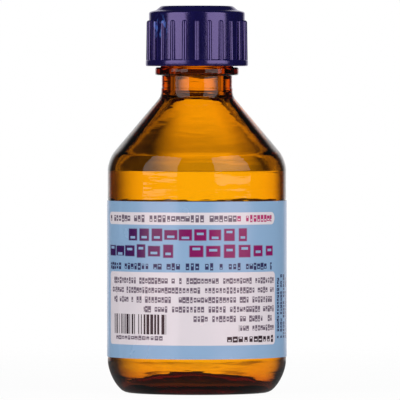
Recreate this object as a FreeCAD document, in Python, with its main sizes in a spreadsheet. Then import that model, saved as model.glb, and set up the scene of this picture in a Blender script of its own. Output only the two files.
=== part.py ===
"""Small amber glass solution bottle with a ribbed screw cap, as a parametric document.

Millimetres, +Z up. The origin is the centre of the standing ring, the front of the label faces -Y.
"""
import FreeCAD
import Part
import Sketcher

import math
import os

UP = FreeCAD.Vector(0, 0, 1)

# Driving dimensions: alias, value and what it measures
SIZES = [
    ("body_diameter", 38.0, "glass body, outside"),
    ("body_wall", 1.8, "glass wall of the body"),
    ("body_height", 49.6, "base to the sharp corner of body and shoulder"),
    ("heel_inset", 3.5, "body wall to the sharp corner of heel and base"),
    ("heel_rise", 3.3, "base to the sharp corner of heel and body wall"),
    ("heel_foot_rounding", 2.2, "heel to base"),
    ("heel_wall_rounding", 8.4, "heel to body wall"),
    ("foot_ring_width", 2.9, "flat ring that the bottle stands on, to the heel's corner"),
    ("punt_depth", 1.6, "push-up of the base, outside"),
    ("floor_height", 2.9, "base to the inside floor beside the wall"),
    ("floor_ring_width", 0.7, "flat of the inside floor between heel rounding and dome"),
    ("floor_dome_rise", 1.9, "dome of the inside floor"),
    ("inner_heel_rounding", 4.5, "inside wall to floor"),
    ("shoulder_rise", 13.5, "height of the conical shoulder"),
    ("shoulder_rounding", 6.4, "body to shoulder, outside"),
    ("inner_shoulder_drop", 0.9, "inside shoulder corner below the outside one"),
    ("inner_shoulder_rounding", 3.0, "body to shoulder, inside"),
    ("neck_diameter", 15.0, "neck under the bead"),
    ("neck_length", 4.4, "shoulder to bead"),
    ("neck_rounding", 2.6, "shoulder to neck, outside"),
    ("neck_bore", 9.6, "bore of the neck"),
    ("inner_neck_rise", 0.25, "inside neck corner above the outside one"),
    ("inner_neck_rounding", 3.0, "shoulder to neck, inside"),
    ("bead_diameter", 17.8, "transfer bead under the cap"),
    ("bead_height", 1.7, "transfer bead"),
    ("bead_rounding", 0.4, "edges of the bead"),
    ("finish_diameter", 15.4, "glass finish at the thread's root"),
    ("finish_length", 9.2, "bead to rim"),
    ("rim_rounding", 0.5, "edges of the glass rim"),
    ("thread_pitch", 3.0, "screw thread, right-handed"),
    ("thread_turns", 1.5, "turns on the glass and in the cap"),
    ("thread_start", 2.9, "bead to the middle of the thread's lower end"),
    ("thread_height", 1.1, "glass thread, root to crest"),
    ("thread_foot", 2.0, "glass thread at its root"),
    ("thread_crest", 1.0, "glass thread at its crest"),
    ("thread_sink", 0.2, "how far a thread's foot runs into its wall"),
    ("cap_clearance", 0.25, "thread crest to the cap's wall"),
    ("cap_gap", 0.25, "cap rim above the bead"),
    ("cap_wall", 1.15, "cap skirt between ribs"),
    ("cap_top", 2.06, "cap top over the liner"),
    ("cap_thread_height", 0.9, "thread in the cap"),
    ("cap_thread_foot", 1.2, "cap thread at its root"),
    ("cap_thread_crest", 0.5, "cap thread at its crest"),
    ("cap_thread_lift", 0.15, "cap thread above the middle of the glass groove"),
    ("crown_diameter", 17.4, "raised disc on the cap"),
    ("crown_rise", 0.9, "raised disc above the ledge"),
    ("crown_rounding", 0.6, "edge of the raised disc"),
    ("ledge_drop", 0.4, "fall of the ledge round the crown"),
    ("ledge_rounding", 0.5, "ledge to skirt"),
    ("collar_diameter", 21.8, "plain rim of the cap"),
    ("collar_height", 1.35, "plain rim of the cap"),
    ("collar_rounding", 0.3, "edges of the plain rim"),
    ("rib_count", 24, "grip ribs"),
    ("rib_width", 1.06, "grip rib, half round"),
    ("rib_proud", 0.62, "grip rib above the skirt, at its foot"),
    ("rib_length", 8.4, "grip rib"),
    ("rib_taper", 0.9, "draft of a rib in degrees"),
    ("rib_slope", 0.9, "height of the sloping rib tops"),
    ("liner_thickness", 1.0, "sealing disc"),
    ("liner_fit", 0.3, "liner to cap wall"),
    ("flange_thickness", 0.8, "insert flange on the rim"),
    ("flange_inset", 0.5, "insert flange inside the finish"),
    ("plug_fit", 0.03, "plug to neck bore"),
    ("plug_length", 6.0, "plug below the rim"),
    ("plug_wall", 0.9, "plug"),
    ("plug_rounding", 0.3, "lead-in of the plug"),
    ("web_depth", 1.4, "top of the plug's web below the rim"),
    ("web_thickness", 0.8, "web across the plug"),
    ("spout_bore", 4.4, "pour spout of the insert"),
    ("spout_wall", 0.6, "pour spout of the insert"),
    ("fill_drop", 2.4, "liquid's surface below the corner of body and shoulder"),
    ("fill_film", 0.05, "liquid to glass"),
    ("label_bottom", 7.67, "base to the label"),
    ("label_height", 33.2, "label"),
    ("label_thickness", 0.1, "paper"),
    ("adhesive", 0.03, "under the label and in its lap"),
    ("label_lap", 18.0, "lap of the label in degrees"),
    ("label_step", 1.5, "step of the lap in degrees"),
    ("label_seam", 194.0, "free edge of the lap, in degrees from +X"),
]


class Size:
    """A length with the sheet formula that it comes from, so one sum gives both."""

    def __init__(self, value, formula):
        self.value = value
        self.formula = formula

    def joined(self, sign, other, value):
        other = other.formula if isinstance(other, Size) else str(other)
        return Size(value, f"({self.formula} {sign} {other})")

    def __add__(self, other):
        return self.joined("+", other, self.value + number(other))

    def __sub__(self, other):
        return self.joined("-", other, self.value - number(other))

    def __mul__(self, other):
        return self.joined("*", other, self.value * number(other))

    def __truediv__(self, other):
        return self.joined("/", other, self.value / number(other))


def number(size):
    """The plain number of a Size or of a number."""
    return size.value if isinstance(size, Size) else float(size)


def fill_sheet(doc):
    """Write the driving dimensions into a sheet and return them by alias."""
    sheet = doc.addObject("Spreadsheet::Sheet", "Sizes")
    sizes = {}
    for row, (alias, value, meaning) in enumerate(SIZES, start=1):
        sheet.set(f"A{row}", alias)
        sheet.set(f"B{row}", str(value))
        sheet.set(f"C{row}", meaning)
        sheet.setAlias(f"B{row}", alias)
        sizes[alias] = Size(float(value), f"Sizes.{alias}")
    doc.recompute()
    return sizes


def origin_plane(body, role):
    """One of the body's own origin planes."""
    return next(item for item in body.Origin.OriginFeatures if item.Role == role)


def new_body(doc, label):
    body = doc.addObject("PartDesign::Body", label)
    body.Label = label
    return body


def new_sketch(body, name, role):
    sketch = body.newObject("Sketcher::SketchObject", name)
    sketch.AttachmentSupport = (origin_plane(body, role), [""])
    sketch.MapMode = "FlatFace"
    return sketch


def bind(sketch, constraint, name, size):
    """Add a named dimension and tie it to its formula."""
    index = sketch.addConstraint(constraint)
    sketch.renameConstraint(index, name)
    sketch.setExpression(f"Constraints.{name}", size.formula)


def pin_point(sketch, name, geometry, end, across, up):
    """Place a point by its two distances from the sketch's origin; None is on that axis."""
    if across is None:
        sketch.addConstraint(Sketcher.Constraint("PointOnObject", geometry, end, -2))
    else:
        rule = Sketcher.Constraint("DistanceX", -1, 1, geometry, end, across.value)
        bind(sketch, rule, f"{name}_across", across)
    if up is None:
        sketch.addConstraint(Sketcher.Constraint("PointOnObject", geometry, end, -1))
    else:
        rule = Sketcher.Constraint("DistanceY", -1, 1, geometry, end, up.value)
        bind(sketch, rule, f"{name}_up", up)


def place(corner):
    """Start position of a corner: (across, up, ...) as a vector."""
    across, up = corner[0], corner[1]
    return FreeCAD.Vector(0 if across is None else across.value, 0 if up is None else up.value, 0)


def rounded_ends(before, corner, after, radius):
    """Tangent points and centre of an arc that rounds a corner."""
    inward = (before - corner).normalize()
    outward = (after - corner).normalize()
    half = inward.getAngle(outward) / 2
    reach = radius / math.tan(half)
    centre = corner + (inward + outward).normalize() * (radius / math.sin(half))
    return corner + inward * reach, corner + outward * reach, centre


def arc_between(start, end, centre):
    """The short arc from start to end, and whether it runs against the clock."""
    radius = (start - centre).Length
    turn = (start - centre).cross(end - centre).z
    first, last = (start, end) if turn > 0 else (end, start)
    angles = [math.atan2(p.y - centre.y, p.x - centre.x) for p in (first, last)]
    if angles[1] < angles[0]:
        angles[1] += 2 * math.pi
    return Part.ArcOfCircle(Part.Circle(centre, UP, radius), *angles), turn > 0


def outline(sketch, corners, domes=()):
    """Draw a closed outline of (across, up, rounding or None) corners.

    A side whose first corner's number is in domes is an arc centred on the vertical axis.
    """
    count = len(corners)
    spots = [place(corner) for corner in corners]
    leaving = list(spots)
    arriving = list(spots)
    arcs = {}
    for i, corner in enumerate(corners):
        if corner[2] is not None:
            ends = rounded_ends(spots[i - 1], spots[i], spots[(i + 1) % count], corner[2].value)
            arriving[i], leaving[i], arcs[i] = ends

    sides = []
    for i in range(count):
        start, end = leaving[i], arriving[(i + 1) % count]
        if i in domes:
            # Equal distances from the axis point to both ends give the centre's height
            rise = (end.x**2 + end.y**2 - start.x**2 - start.y**2) / (2 * (end.y - start.y))
            curve, forward = arc_between(start, end, FreeCAD.Vector(0, rise, 0))
            side = sketch.addGeometry(curve)
            sketch.addConstraint(Sketcher.Constraint("PointOnObject", side, 3, -2))
            sides.append((side, 1 if forward else 2, 2 if forward else 1))
        else:
            sides.append((sketch.addGeometry(Part.LineSegment(start, end)), 1, 2))

    for i, (across, up, rounding) in enumerate(corners):
        came, came_end = sides[i - 1][0], sides[i - 1][2]
        went, went_end = sides[i][0], sides[i][1]
        name = f"corner{i}"
        if rounding is None:
            sketch.addConstraint(Sketcher.Constraint("Coincident", came, came_end, went, went_end))
            pin_point(sketch, name, went, went_end, across, up)
            continue
        curve, forward = arc_between(arriving[i], leaving[i], arcs[i])
        arc = sketch.addGeometry(curve)
        first, last = (1, 2) if forward else (2, 1)
        sketch.addConstraint(Sketcher.Constraint("Tangent", came, came_end, arc, first))
        sketch.addConstraint(Sketcher.Constraint("Tangent", went, went_end, arc, last))
        bind(sketch, Sketcher.Constraint("Radius", arc, rounding.value), f"{name}_round", rounding)
        tip = sketch.addGeometry(Part.Point(spots[i]), True)
        sketch.addConstraint(Sketcher.Constraint("PointOnObject", tip, 1, came))
        sketch.addConstraint(Sketcher.Constraint("PointOnObject", tip, 1, went))
        pin_point(sketch, name, tip, 1, across, up)


def revolve(body, name, corners, domes=(), kind="PartDesign::Revolution", degrees=None):
    """Turn an outline of (radius, height, rounding) corners about the vertical axis."""
    sketch = new_sketch(body, f"{name}_outline", "XZ_Plane")
    outline(sketch, corners, domes)
    feature = body.newObject(kind, name)
    feature.Profile = sketch
    feature.ReferenceAxis = (sketch, ["V_Axis"])
    if degrees is None:
        feature.Angle = 360
    else:
        feature.Angle = degrees.value
        feature.setExpression("Angle", degrees.formula)
    return feature


def wind_thread(body, name, corners, pitch, turns):
    """Wind a thread of the given section round the vertical axis, right-handed."""
    sketch = new_sketch(body, f"{name}_section", "XZ_Plane")
    outline(sketch, corners)
    helix = body.newObject("PartDesign::AdditiveHelix", name)
    helix.Profile = sketch
    helix.ReferenceAxis = (sketch, ["V_Axis"])
    helix.Mode = "pitch-turns-angle"
    helix.LeftHanded = False
    helix.setExpression("Pitch", pitch.formula)
    helix.setExpression("Turns", turns.formula)
    return helix


def section(root, crest, middle, foot, top):
    """Corners of a thread's section between its root and crest radii."""
    return [
        (root, middle - foot / 2, None),
        (crest, middle - top / 2, None),
        (crest, middle + top / 2, None),
        (root, middle + foot / 2, None),
    ]


def levels(s):
    """Heights that more than one piece uses."""
    neck = s["body_height"] + s["shoulder_rise"]
    bead = neck + s["neck_length"]
    bead_top = bead + s["bead_height"]
    rim = bead_top + s["finish_length"]
    seal = rim + s["flange_thickness"]
    seat = seal + s["liner_thickness"]
    return {
        "neck": neck,
        "bead": bead,
        "bead_top": bead_top,
        "thread": bead_top + s["thread_start"],
        "rim": rim,
        "seal": seal,
        "seat": seat,
        "cap_top": seat + s["cap_top"],
        "cap_bottom": bead_top + s["cap_gap"],
    }


def body_inside(s):
    """Inside radius of the glass body."""
    return s["body_diameter"] / 2 - s["body_wall"]


def floor_dome(s):
    """Radius of the domed middle of the inside floor."""
    return body_inside(s) - s["inner_heel_rounding"] - s["floor_ring_width"]


def make_glass_bottle(doc, s, z):
    """Blown glass: pushed-up base, heel, body, cone, neck, bead and screw finish."""
    body = new_body(doc, "glass_bottle")
    radius = s["body_diameter"] / 2
    foot = radius - s["heel_inset"]
    neck = s["neck_diameter"] / 2
    bead = s["bead_diameter"] / 2
    finish = s["finish_diameter"] / 2
    bore = s["neck_bore"] / 2
    inside = body_inside(s)
    corners = [
        (None, s["punt_depth"], None),
        (foot - s["foot_ring_width"], None, None),
        (foot, None, s["heel_foot_rounding"]),
        (radius, s["heel_rise"], s["heel_wall_rounding"]),
        (radius, s["body_height"], s["shoulder_rounding"]),
        (neck, z["neck"], s["neck_rounding"]),
        (neck, z["bead"], None),
        (bead, z["bead"], s["bead_rounding"]),
        (bead, z["bead_top"], s["bead_rounding"]),
        (finish, z["bead_top"], None),
        (finish, z["rim"], s["rim_rounding"]),
        (bore, z["rim"], s["rim_rounding"]),
        (bore, z["neck"] + s["inner_neck_rise"], s["inner_neck_rounding"]),
        (inside, s["body_height"] - s["inner_shoulder_drop"], s["inner_shoulder_rounding"]),
        (inside, s["floor_height"], s["inner_heel_rounding"]),
        (floor_dome(s), s["floor_height"], None),
        (None, s["floor_height"] + s["floor_dome_rise"], None),
    ]
    revolve(body, "Blow", corners, domes=(0, 15))
    thread = section(
        finish - s["thread_sink"],
        finish + s["thread_height"],
        z["thread"],
        s["thread_foot"],
        s["thread_crest"],
    )
    wind_thread(body, "Thread", thread, s["thread_pitch"], s["thread_turns"])
    return body


def make_pour_insert(doc, s, z):
    """Plug in the neck: flange on the rim, skirt, web and a short pour spout."""
    body = new_body(doc, "pour_insert")
    plug = s["neck_bore"] / 2 - s["plug_fit"]
    hollow = plug - s["plug_wall"]
    flange = s["finish_diameter"] / 2 - s["flange_inset"]
    spout = s["spout_bore"] / 2
    spout_outside = spout + s["spout_wall"]
    web_top = z["rim"] - s["web_depth"]
    web_bottom = web_top - s["web_thickness"]
    bottom = z["rim"] - s["plug_length"]
    corners = [
        (spout, web_bottom, None),
        (hollow, web_bottom, None),
        (hollow, bottom, None),
        (plug, bottom, s["plug_rounding"]),
        (plug, z["rim"], None),
        (flange, z["rim"], None),
        (flange, z["seal"], None),
        (hollow, z["seal"], None),
        (hollow, web_top, None),
        (spout_outside, web_top, None),
        (spout_outside, z["seal"], None),
        (spout, z["seal"], None),
    ]
    revolve(body, "Plug", corners)
    return body


def cap_inside(s):
    """Inside radius of the cap's skirt."""
    return s["finish_diameter"] / 2 + s["thread_height"] + s["cap_clearance"]


def make_cap_liner(doc, s, z):
    """Flat sealing disc between the insert's flange and the cap."""
    liner = doc.addObject("Part::Cylinder", "cap_liner")
    liner.Label = "cap_liner"
    liner.setExpression("Radius", (cap_inside(s) - s["liner_fit"]).formula)
    liner.setExpression("Height", s["liner_thickness"].formula)
    liner.setExpression("Placement.Base.z", z["seal"].formula)
    return liner


def make_screw_cap(doc, s, z):
    """Moulded cap: crown, ledge, skirt with grip ribs, plain rim and inside thread."""
    body = new_body(doc, "screw_cap")
    inside = cap_inside(s)
    skirt = inside + s["cap_wall"]
    collar = s["collar_diameter"] / 2
    crown = s["crown_diameter"] / 2
    collar_top = z["cap_bottom"] + s["collar_height"]
    ledge = z["cap_top"] - s["crown_rise"]
    corners = [
        (None, z["seat"], None),
        (inside, z["seat"], None),
        (inside, z["cap_bottom"], None),
        (collar, z["cap_bottom"], s["collar_rounding"]),
        (collar, collar_top, s["collar_rounding"]),
        (skirt, collar_top, None),
        (skirt, ledge - s["ledge_drop"], s["ledge_rounding"]),
        (crown, ledge, None),
        (crown, z["cap_top"], s["crown_rounding"]),
        (None, z["cap_top"], None),
    ]
    revolve(body, "Shell", corners)
    add_ribs(body, s, skirt, collar_top)
    thread = section(
        inside + s["thread_sink"],
        inside - s["cap_thread_height"],
        z["thread"] - s["thread_pitch"] / 2 + s["cap_thread_lift"],
        s["cap_thread_foot"],
        s["cap_thread_crest"],
    )
    wind_thread(body, "InsideThread", thread, s["thread_pitch"], s["thread_turns"])
    return body


def add_ribs(body, s, skirt, foot):
    """Half-round ribs round the skirt, drafted upwards, with sloping tops."""
    half = s["rib_width"] / 2
    middle = skirt + s["rib_proud"] - half
    root = skirt - s["cap_wall"] / 2
    sketch = new_sketch(body, "Rib_section", "XY_Plane")
    sketch.setExpression("AttachmentOffset.Base.z", foot.formula)
    low = FreeCAD.Vector(middle.value, -half.value, 0)
    high = FreeCAD.Vector(middle.value, half.value, 0)
    deep_low = FreeCAD.Vector(root.value, -half.value, 0)
    deep_high = FreeCAD.Vector(root.value, half.value, 0)
    bottom = sketch.addGeometry(Part.LineSegment(deep_low, low))
    circle = Part.Circle(FreeCAD.Vector(middle.value, 0, 0), UP, half.value)
    tip = sketch.addGeometry(Part.ArcOfCircle(circle, -math.pi / 2, math.pi / 2))
    top = sketch.addGeometry(Part.LineSegment(high, deep_high))
    back = sketch.addGeometry(Part.LineSegment(deep_high, deep_low))
    sketch.addConstraint(Sketcher.Constraint("Tangent", bottom, 2, tip, 1))
    sketch.addConstraint(Sketcher.Constraint("Tangent", top, 1, tip, 2))
    sketch.addConstraint(Sketcher.Constraint("Coincident", top, 2, back, 1))
    sketch.addConstraint(Sketcher.Constraint("Coincident", back, 2, bottom, 1))
    sketch.addConstraint(Sketcher.Constraint("Horizontal", bottom))
    sketch.addConstraint(Sketcher.Constraint("Vertical", back))
    sketch.addConstraint(Sketcher.Constraint("PointOnObject", tip, 3, -1))
    bind(sketch, Sketcher.Constraint("Radius", tip, half.value), "half_width", half)
    bind(sketch, Sketcher.Constraint("DistanceX", -1, 1, tip, 3, middle.value), "middle", middle)
    bind(sketch, Sketcher.Constraint("DistanceX", -1, 1, back, 1, root.value), "root", root)
    rib = body.newObject("PartDesign::Pad", "Rib")
    rib.Profile = sketch
    rib.setExpression("Length", s["rib_length"].formula)
    rib.setExpression("TaperAngle", f"-{s['rib_taper'].formula}")
    ring = body.newObject("PartDesign::PolarPattern", "Ribs")
    ring.Originals = [rib]
    ring.Axis = (sketch, ["N_Axis"])
    ring.Angle = 360
    ring.setExpression("Occurrences", s["rib_count"].formula)
    body.Tip = ring
    top_level = foot + s["rib_length"]
    outer = skirt + s["rib_proud"] * 2
    slope = [
        (skirt, top_level, None),
        (outer, top_level - s["rib_slope"] * 2, None),
        (outer, top_level + s["rib_slope"], None),
        (skirt, top_level + s["rib_slope"], None),
    ]
    revolve(body, "RibTops", slope, kind="PartDesign::Groove")


def make_label(doc, s):
    """Paper wrapped once round the body, its front end lapped over the other."""
    body = new_body(doc, "label")
    paper = s["label_thickness"]
    under = s["body_diameter"] / 2 + s["adhesive"]
    over = under + paper + s["adhesive"]
    low = s["label_bottom"]
    high = low + s["label_height"]

    def strip(name, inner, outer, degrees, reversed_turn):
        corners = [(inner, low, None), (outer, low, None), (outer, high, None), (inner, high, None)]
        feature = revolve(body, name, corners, degrees=degrees)
        feature.Reversed = reversed_turn

    wrap = Size(360.0, "360") - s["label_step"]
    strip("Wrap", under, under + paper, wrap, False)
    strip("Step", under, over + paper, s["label_step"], False)
    strip("Lap", over, over + paper, s["label_lap"], True)
    body.setExpression("Placement.Rotation.Angle", (s["label_seam"] + s["label_lap"]).formula)
    return body


def make_solution(doc, s):
    """Liquid fill up to its level, a film's width clear of the glass."""
    body = new_body(doc, "solution")
    film = s["fill_film"]
    wall = body_inside(s) - film
    floor = s["floor_height"] + film
    surface = s["body_height"] - s["fill_drop"]
    corners = [
        (None, floor + s["floor_dome_rise"], None),
        (floor_dome(s), floor, None),
        (wall, floor, s["inner_heel_rounding"] - film),
        (wall, surface, None),
        (None, surface, None),
    ]
    revolve(body, "Fill", corners, domes=(0,))
    return body


def check_document(doc, pieces):
    """Stop if any object failed or a piece has no valid solid."""
    for item in doc.Objects:
        if "Invalid" in item.State or "Error" in item.State:
            raise RuntimeError(f"{item.Name} failed: {item.State}")
    for piece in pieces:
        if piece.Shape.isNull() or not piece.Shape.isValid():
            raise RuntimeError(f"{piece.Label} has no valid shape")


def main():
    doc = FreeCAD.newDocument("solution_bottle")
    sizes = fill_sheet(doc)
    heights = levels(sizes)
    pieces = [
        make_glass_bottle(doc, sizes, heights),
        make_pour_insert(doc, sizes, heights),
        make_cap_liner(doc, sizes, heights),
        make_screw_cap(doc, sizes, heights),
        make_label(doc, sizes),
        make_solution(doc, sizes),
    ]
    doc.recompute()
    check_document(doc, pieces)
    os.makedirs("parts", exist_ok=True)
    for piece in pieces:
        piece.Shape.exportStep(f"parts/{piece.Label}.step")
        print(f"{piece.Label}: {len(piece.Shape.Solids)} solid, {piece.Shape.Volume:.1f} mm3")


main()
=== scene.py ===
"""Dress a small amber glass solution bottle: glass, fill, insert, liner, ribbed cap and printed label."""
import math

import bmesh
import bpy
from bpy.props import FloatProperty, FloatVectorProperty, IntProperty, PointerProperty
from bpy.types import Operator, Panel, PropertyGroup
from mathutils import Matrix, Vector


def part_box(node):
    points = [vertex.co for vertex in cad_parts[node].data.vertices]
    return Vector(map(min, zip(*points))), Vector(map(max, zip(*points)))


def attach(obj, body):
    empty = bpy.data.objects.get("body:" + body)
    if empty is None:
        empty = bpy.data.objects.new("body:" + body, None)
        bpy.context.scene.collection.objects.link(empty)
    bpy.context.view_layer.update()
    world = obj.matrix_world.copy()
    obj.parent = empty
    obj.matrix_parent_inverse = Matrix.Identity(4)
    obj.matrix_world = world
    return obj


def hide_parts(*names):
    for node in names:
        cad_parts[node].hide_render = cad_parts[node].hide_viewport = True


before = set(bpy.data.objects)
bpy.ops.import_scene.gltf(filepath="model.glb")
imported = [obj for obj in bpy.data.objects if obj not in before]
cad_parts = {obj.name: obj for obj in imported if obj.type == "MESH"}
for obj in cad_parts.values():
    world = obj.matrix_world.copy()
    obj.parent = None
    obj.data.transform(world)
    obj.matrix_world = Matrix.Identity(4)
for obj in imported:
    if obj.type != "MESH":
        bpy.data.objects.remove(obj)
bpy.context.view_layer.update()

bl_info = {
    "name": "Solution Bottle",
    "version": (1, 0, 0),
    "blender": (4, 5, 0),
    "location": "3D View > Sidebar > Bottle",
    "description": "Models a labelled amber glass bottle with a ribbed screw cap around its packed frame",
    "category": "Add Mesh",
}

MM = 0.001
NEAR = 0.000001
FULL_TURN = 2 * math.pi

GLASS_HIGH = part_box("glass_bottle")[1]
FILL_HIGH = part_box("solution")[1]
INSERT_LOW, INSERT_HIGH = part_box("pour_insert")
LINER_LOW, LINER_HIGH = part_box("cap_liner")
CAP_LOW, CAP_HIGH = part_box("screw_cap")
LABEL_LOW, LABEL_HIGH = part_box("label")

# Glass and cap share one thread, whose root is sunk into the wall that carries it.
THREAD_PITCH = 3 * MM
THREAD_TURNS = 1.5
THREAD_SINK = 0.2 * MM
# Plain light, and glass whose surface tints nothing.
WHITE = (1.0, 1.0, 1.0, 1.0)
# Half the width over which an edge of print fades.
SOFT_EDGE = 0.05


def length(name, description, millimetres):
    """A length property, given in millimetres and kept in metres."""
    return FloatProperty(
        name=name, description=description, default=millimetres * MM, unit="LENGTH", precision=5
    )


def screen(red, green, blue):
    """Linear colour of an 8-bit screen colour."""
    shares = [value / 255 for value in (red, green, blue)]
    return tuple(c / 12.92 if c <= 0.04045 else ((c + 0.055) / 1.055) ** 2.4 for c in shares)


def colour(name, description, red, green, blue):
    """A colour property, given as an 8-bit screen colour."""
    return FloatVectorProperty(
        name=name,
        description=description,
        subtype="COLOR",
        size=3,
        min=0,
        max=1,
        default=screen(red, green, blue),
    )


def angle(name, description, degrees):
    """An angle property, given in degrees and kept in radians."""
    return FloatProperty(
        name=name, description=description, default=math.radians(degrees), subtype="ANGLE"
    )


def number(name, description, value):
    """A plain number property, never below zero."""
    return FloatProperty(name=name, description=description, default=value, min=0)


def count(name, description, value):
    """A property that counts sides or copies."""
    return IntProperty(name=name, description=description, default=value, min=3)


class GlassSettings(PropertyGroup):
    """Section and tint of the blown glass"""

    wall: length("Wall", "Thickness of the body wall", 1.8)
    heel_inset: length("Heel Inset", "Body wall to the corner of heel and base", 3.5)
    heel_rise: length("Heel Rise", "Base to the corner of heel and wall", 3.3)
    foot_rounding: length("Foot Rounding", "Rounding from base to heel", 2.2)
    heel_rounding: length("Heel Rounding", "Rounding from heel to wall", 8.4)
    foot_ring: length("Foot Ring", "Flat ring that the bottle stands on", 2.9)
    punt: length("Push-up", "Depth of the hollow under the base", 1.6)
    floor: length("Floor", "Base to the inside floor beside the wall", 2.9)
    dome: length("Floor Dome", "Rise of the inside floor in its middle", 1.9)
    dome_radius: length("Dome Radius", "Radius of the floor's dome", 12.0)
    inner_heel: length("Inner Heel", "Rounding from inside wall to floor", 4.5)
    shoulder: length("Shoulder", "Base to the corner of body and shoulder", 49.6)
    shoulder_rounding: length("Shoulder Rounding", "Rounding from body to shoulder", 6.4)
    inner_drop: length("Inner Drop", "Inside shoulder corner below the outside one", 0.9)
    inner_shoulder: length("Inner Shoulder", "Inside rounding from body to shoulder", 5.0)
    inner_neck: length("Inner Neck", "Inside rounding from shoulder to neck", 3.0)
    neck: length("Neck", "Base to the corner of shoulder and neck", 63.1)
    neck_radius: length("Neck Radius", "Outside of the neck", 7.5)
    neck_rounding: length("Neck Rounding", "Rounding from shoulder to neck", 2.6)
    seam_step: length("Seam Step", "Step of the neck ring's mould joint", 0.1)
    seam_height: length("Seam Height", "Base to the neck ring's mould joint", 64.7)
    bore: length("Bore", "Radius of the neck's bore", 4.8)
    inner_rise: length("Inner Rise", "Inside neck corner above the outside one", 0.25)
    bead: length("Bead", "Base to the underside of the bead", 67.5)
    bead_radius: length("Bead Radius", "Outside of the bead", 8.9)
    bead_height: length("Bead Height", "Height of the bead", 1.7)
    edge: length("Edge", "Rounding of bead and rim edges", 0.45)
    finish_radius: length("Finish Radius", "Outside of the screw finish", 7.7)
    thread_start: length("Thread Start", "Base to the middle of the thread's lower end", 72.1)
    thread_height: length("Thread Height", "Thread above the finish", 1.1)
    thread_foot: length("Thread Foot", "Width of the thread at its root", 2.0)
    thread_crest: length("Thread Crest", "Width of the thread at its crest", 1.0)
    unevenness: length("Unevenness", "Swell of the inside wall", 0.4)
    swell: length("Swell Size", "Size of the inside wall's swells", 12.0)
    tint: colour("Tint", "Colour that the glass lets through", 250, 234, 34)
    depth: number("Depth", "Absorption for each metre of glass", 1900)
    steps: count("Steps", "Sides of the turned glass", 192)


class FillSettings(PropertyGroup):
    """The liquid"""

    overlap: length("Overlap", "How far the liquid's skin lies inside the glass wall", 0.35)
    meniscus: length("Meniscus", "Climb of the liquid at the wall", 0.12)
    tint: colour("Tint", "Colour of the liquid", 252, 252, 250)


class InsertSettings(PropertyGroup):
    """The pour insert in the neck"""

    plug_radius: length("Plug Radius", "Outside of the plug", 4.77)
    plug_wall: length("Plug Wall", "Wall of the plug", 0.9)
    web_depth: length("Web Depth", "Top of the web below the rim", 1.4)
    web: length("Web", "Thickness of the web", 0.8)
    spout_bore: length("Spout Bore", "Inside radius of the spout", 2.2)
    spout_wall: length("Spout Wall", "Wall of the spout", 0.6)
    edge: length("Edge", "Rounding of the moulded edges", 0.2)
    tint: colour("Tint", "Colour of the soft plastic", 238, 238, 232)
    steps: count("Steps", "Sides of the turned insert", 96)


class CapSettings(PropertyGroup):
    """The ribbed screw cap and its liner"""

    inside: length("Inside", "Inside radius of the skirt", 9.05)
    skirt: length("Skirt", "Outside radius between the ribs", 10.2)
    collar: length("Collar", "Height of the plain rim", 1.35)
    crown_radius: length("Crown Radius", "Radius of the raised disc", 8.7)
    crown_rise: length("Crown Rise", "Height of the raised disc", 0.9)
    crown_slope: length("Crown Slope", "How far the raised disc's side leans in", 1.1)
    crown_rounding: length("Crown Rounding", "Edge of the raised disc", 0.85)
    ledge_drop: length("Ledge Drop", "Fall of the ledge round the crown", 0.4)
    ledge_rounding: length("Ledge Rounding", "Edge of the ledge over the skirt", 0.48)
    gate_radius: length("Gate Radius", "Moulding gate in the middle of the crown", 0.9)
    gate_depth: length("Gate Depth", "Depth of the moulding gate", 0.12)
    edge: length("Edge", "Rounding of the moulded edges", 0.3)
    ribs: count("Ribs", "Grip ribs round the skirt", 24)
    rib_radius: length("Rib Radius", "Half the width of a rib", 0.53)
    rib_proud: length("Rib Proud", "Rib above the skirt at its foot", 0.62)
    rib_length: length("Rib Length", "Height of a rib", 8.4)
    rib_draft: length("Rib Draft", "How far a rib leans in towards its top", 0.12)
    rib_top: number("Rib Top", "Rounding of a rib's top, as a share of its radius", 0.92)
    rib_sides: count("Rib Sides", "Sides of a rib", 24)
    thread_height: length("Thread Height", "Thread inside the skirt", 0.9)
    thread_foot: length("Thread Foot", "Width of the thread at its root", 1.2)
    thread_crest: length("Thread Crest", "Width of the thread at its crest", 0.5)
    thread_start: length("Thread Start", "Base to the middle of the thread's lower end", 70.75)
    tint: colour("Tint", "Colour of the cap's plastic", 8, 7, 60)
    scuff_place: FloatVectorProperty(
        name="Scuff Place",
        description="Middle of a scuffed spot on the ribs",
        default=(-8.0 * MM, -7.0 * MM, 77.6 * MM),
        subtype="XYZ",
        unit="LENGTH",
        size=3,
    )
    scuff_core: length("Scuff Core", "Radius that is scuffed most", 1.32)
    scuff_reach: length("Scuff Reach", "Radius of the scuffed spot", 3.3)
    scuff_tint: colour("Scuff Tint", "Colour of scuffed plastic", 70, 108, 184)
    steps: count("Steps", "Sides of the turned shell", 192)
    liner_press: length("Liner Press", "Rounding of the foam, twice the depth of its pressed face", 0.25)
    liner_tint: colour("Liner Tint", "Colour of the liner's foam", 240, 239, 234)
    liner_steps: count("Liner Steps", "Sides of the turned liner", 96)


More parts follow.
